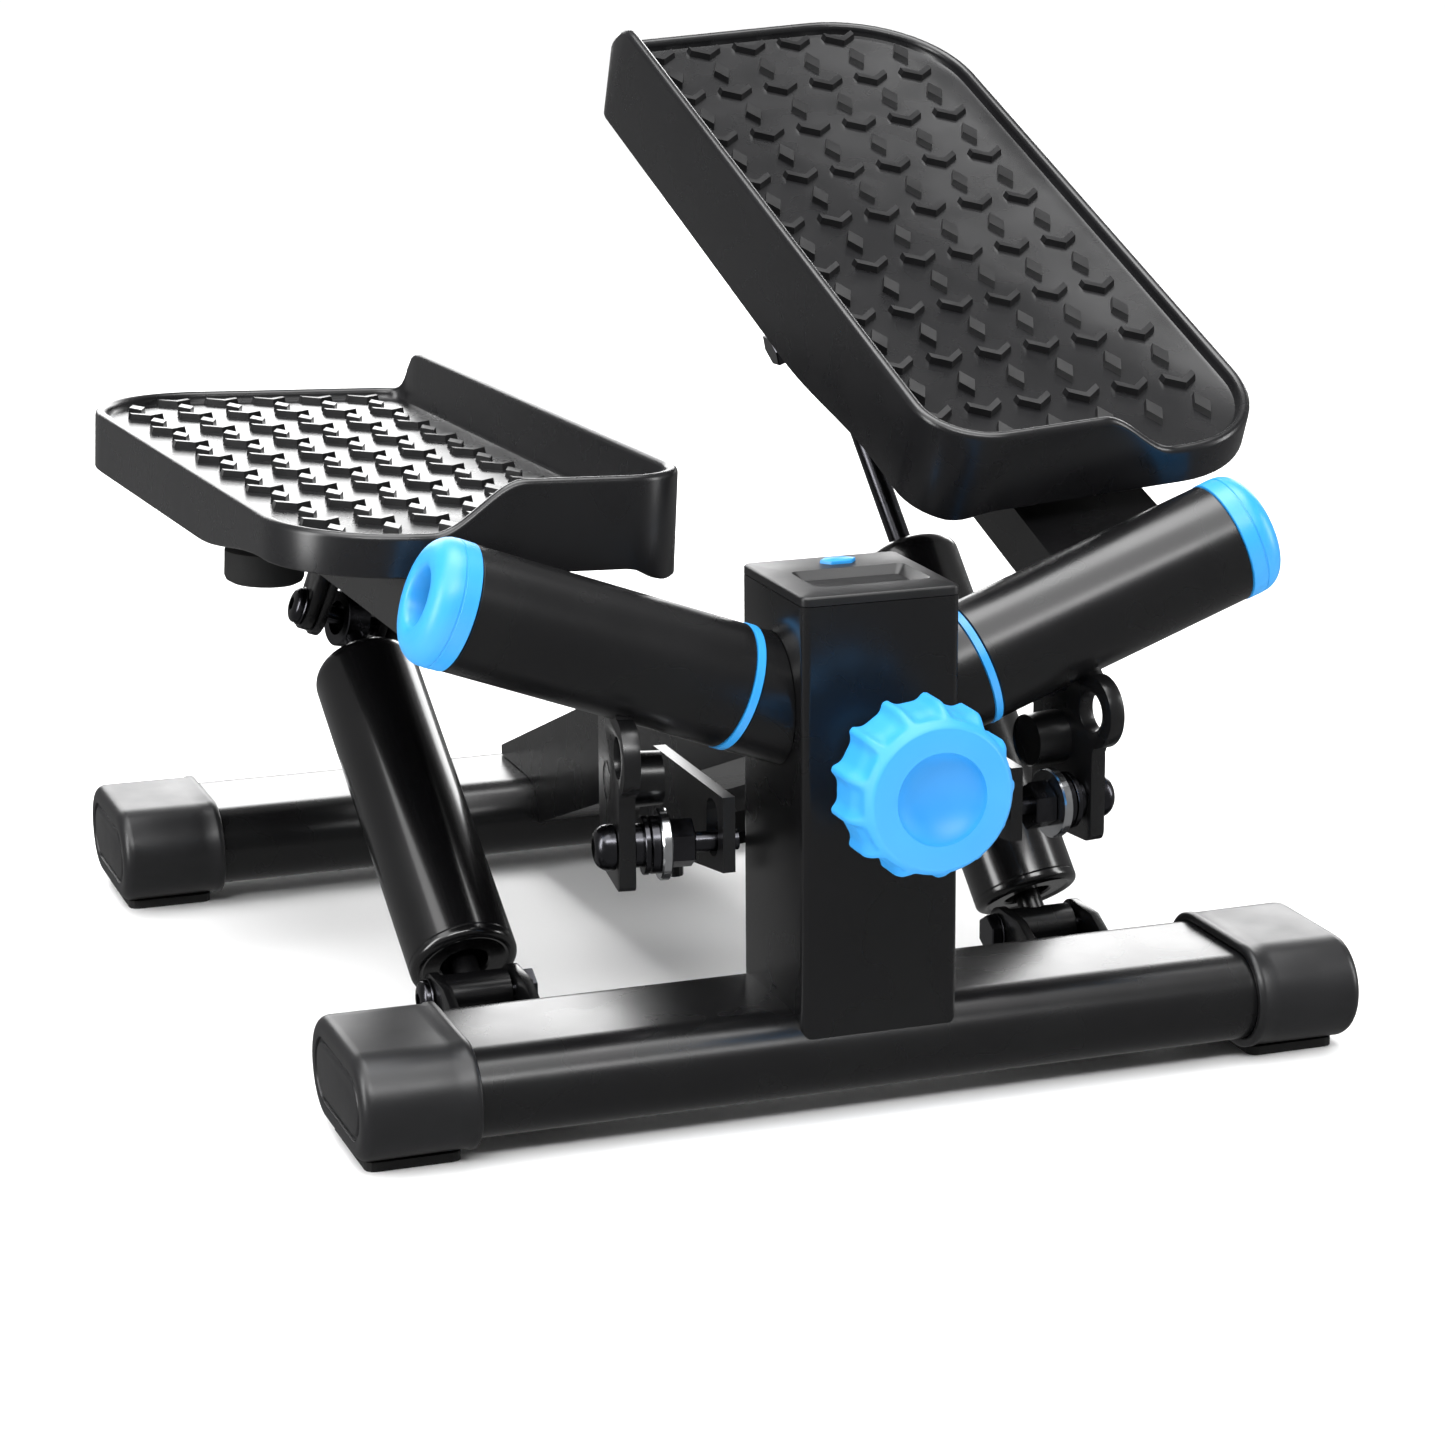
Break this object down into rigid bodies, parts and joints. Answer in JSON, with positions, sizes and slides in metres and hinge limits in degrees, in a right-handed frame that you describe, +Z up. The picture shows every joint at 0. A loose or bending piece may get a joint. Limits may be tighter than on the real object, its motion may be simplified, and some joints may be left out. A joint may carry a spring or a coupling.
{
  "type": "twist stepper",
  "caption": "Compact exercise stepper with slanted pedal hubs, foot trays, hydraulic dampers, a counter display and a front adjuster knob.",
  "frame": {"origin": "centre of the bounding box on the floor", "axes": "+Z up, +X towards the right pedal as the user stands on it, -Y towards the front knob"},
  "size_m": [0.4594, 0.5024, 0.3951],
  "materials": {
    "black_steel": "satin black powder coat",
    "gloss_black_steel": "gloss black paint",
    "black_plastic": "satin moulded plastic",
    "black_rubber": "matte rubber",
    "blue_plastic": "fine matte texture",
    "nylon": "natural",
    "zinc_steel": "zinc plated",
    "display_window": "clear window over a grey display"
  },
  "bodies": {
    "base": {"front_crossbar": "black_steel", "rear_crossbar": "black_steel", "end_cap_front_left": "black_plastic", "end_cap_front_right": "black_plastic", "end_cap_rear_left": "black_plastic", "end_cap_rear_right": "black_plastic", "foot_pad_front_left": "black_rubber", "foot_pad_front_right": "black_rubber", "foot_pad_rear_left": "black_rubber", "foot_pad_rear_right": "black_rubber", "tower_post": "black_steel", "spine_beam": "black_steel", "console_housing": "black_plastic", "display_window": "display_window", "spindle_nut": "zinc_steel", "rocker_pin": "zinc_steel", "hub_axle_left": "black_steel", "hub_axle_right": "black_steel", "hub_ring_left": "blue_plastic", "hub_ring_right": "blue_plastic", "hub_bolt_left": "zinc_steel", "hub_bolt_right": "zinc_steel", "damper_foot_left": "black_steel", "damper_foot_right": "black_steel", "damper_foot_bolt_left": "zinc_steel", "damper_foot_bolt_right": "zinc_steel"},
    "left_pedal": {"hub_tube_left": "black_steel", "hub_bush_inner_left": "nylon", "hub_bush_outer_left": "nylon", "hub_cap_left": "blue_plastic", "pedal_arm_left": "black_steel", "pedal_tray_left": "black_plastic", "pedal_bumper_left": "black_rubber", "link_bracket_left": "black_steel", "link_bolt_left": "zinc_steel", "damper_head_left": "black_steel", "damper_head_bolt_left": "zinc_steel"},
    "right_pedal": {"hub_tube_right": "black_steel", "hub_bush_inner_right": "nylon", "hub_bush_outer_right": "nylon", "hub_cap_right": "blue_plastic", "pedal_arm_right": "black_steel", "pedal_tray_right": "black_plastic", "pedal_bumper_right": "black_rubber", "link_bracket_right": "black_steel", "link_bolt_right": "zinc_steel", "damper_head_right": "black_steel", "damper_head_bolt_right": "zinc_steel"},
    "rocker": {"rocker": "black_steel"},
    "left_link": {"link_left": "black_steel"},
    "left_damper_eye": {"damper_eye_left": "black_steel"},
    "left_damper_body": {"damper_body_left": "gloss_black_steel"},
    "left_damper_rod": {"damper_rod_left": "zinc_steel"},
    "right_link": {"link_right": "black_steel"},
    "right_damper_eye": {"damper_eye_right": "black_steel"},
    "right_damper_body": {"damper_body_right": "gloss_black_steel"},
    "right_damper_rod": {"damper_rod_right": "zinc_steel"},
    "reset_button": {"reset_button": "blue_plastic"},
    "adjuster_knob": {"knob": "blue_plastic", "knob_spindle": "zinc_steel"}
  },
  "joints": [
    {"name": "left_pedal_swing", "type": "hinge", "parent": "base", "child": "left_pedal", "pos_m": [0.00123, -0.16015, 0.153], "axis": [0.9385, 0, -0.3453], "range_deg": [0, 26.5]},
    {"name": "right_pedal_swing", "type": "hinge", "parent": "base", "child": "right_pedal", "pos_m": [0.00123, -0.16015, 0.153], "axis": [0.9385, 0, 0.3453], "range_deg": [-26.52, 0.02]},
    {"name": "rocker_turn", "type": "hinge", "parent": "base", "child": "rocker", "pos_m": [0.00123, -0.07715, 0.09], "axis": [0, 0, 1], "range_deg": [-28.92, 0.02]},
    {"name": "left_link_turn", "type": "hinge", "parent": "rocker", "child": "left_link", "pos_m": [-0.04912, -0.09013, 0.09], "axis": [0, 0, 1], "range_deg": [-0.02, 28.92]},
    {"name": "right_link_turn", "type": "hinge", "parent": "rocker", "child": "right_link", "pos_m": [0.05159, -0.06417, 0.09], "axis": [0, 0, 1], "range_deg": [-0.02, 28.92]},
    {"name": "left_damper_pitch", "type": "hinge", "parent": "base", "child": "left_damper_eye", "pos_m": [-0.12607, -0.05975, 0.0234], "axis": [1, 0, 0], "range_deg": [-0.02, 19.78]},
    {"name": "left_damper_lean", "type": "hinge", "parent": "left_damper_eye", "child": "left_damper_body", "pos_m": [-0.12607, -0.05975, 0.0234], "axis": [0, 0.586, -0.8103], "range_deg": [-0.02, 9.06]},
    {"name": "left_damper_stroke", "type": "slide", "parent": "left_damper_body", "child": "left_damper_rod", "axis": [-0.0335, 0.8099, 0.5856], "range_m": [-0.0001, 0.08487]},
    {"name": "right_damper_pitch", "type": "hinge", "parent": "base", "child": "right_damper_eye", "pos_m": [0.12853, -0.05975, 0.0234], "axis": [1, 0, 0], "range_deg": [-19.78, 0.02]},
    {"name": "right_damper_lean", "type": "hinge", "parent": "right_damper_eye", "child": "right_damper_body", "pos_m": [0.12853, -0.05975, 0.0234], "axis": [0, 0.8254, -0.5646], "range_deg": [-0.02, 9.06]},
    {"name": "right_damper_stroke", "type": "slide", "parent": "right_damper_body", "child": "right_damper_rod", "axis": [-0.124, 0.5602, 0.819], "range_m": [-0.08487, 0.0001]},
    {"name": "reset_button_press", "type": "slide", "parent": "base", "child": "reset_button", "axis": [0, 0, -1], "range_m": [0, 0.0012], "stiffness_N_per_m": 400, "springref_m": -0.001},
    {"name": "knob_turn", "type": "hinge", "parent": "base", "child": "adjuster_knob", "pos_m": [0.00123, -0.25115, 0.1445], "axis": [0, -1, 0], "range_deg": [-540, 540]}
  ],
  "couplings": [
    {"joint": "right_pedal_swing", "follows": "left_pedal_swing", "ratio": -1},
    {"joint": "rocker_turn", "follows": "left_pedal_swing", "ratio": -1.0906},
    {"joint": "left_link_turn", "follows": "left_pedal_swing", "ratio": 1.0906},
    {"joint": "right_link_turn", "follows": "left_pedal_swing", "ratio": 1.0906},
    {"joint": "left_damper_pitch", "follows": "left_pedal_swing", "ratio": 0.7455},
    {"joint": "left_damper_lean", "follows": "left_pedal_swing", "ratio": 0.34126},
    {"joint": "left_damper_stroke", "follows": "left_pedal_swing", "m_per_rad": 0.18329},
    {"joint": "right_damper_pitch", "follows": "left_pedal_swing", "ratio": -0.7455},
    {"joint": "right_damper_lean", "follows": "left_pedal_swing", "ratio": 0.34126},
    {"joint": "right_damper_stroke", "follows": "left_pedal_swing", "m_per_rad": -0.18329}
  ]
}
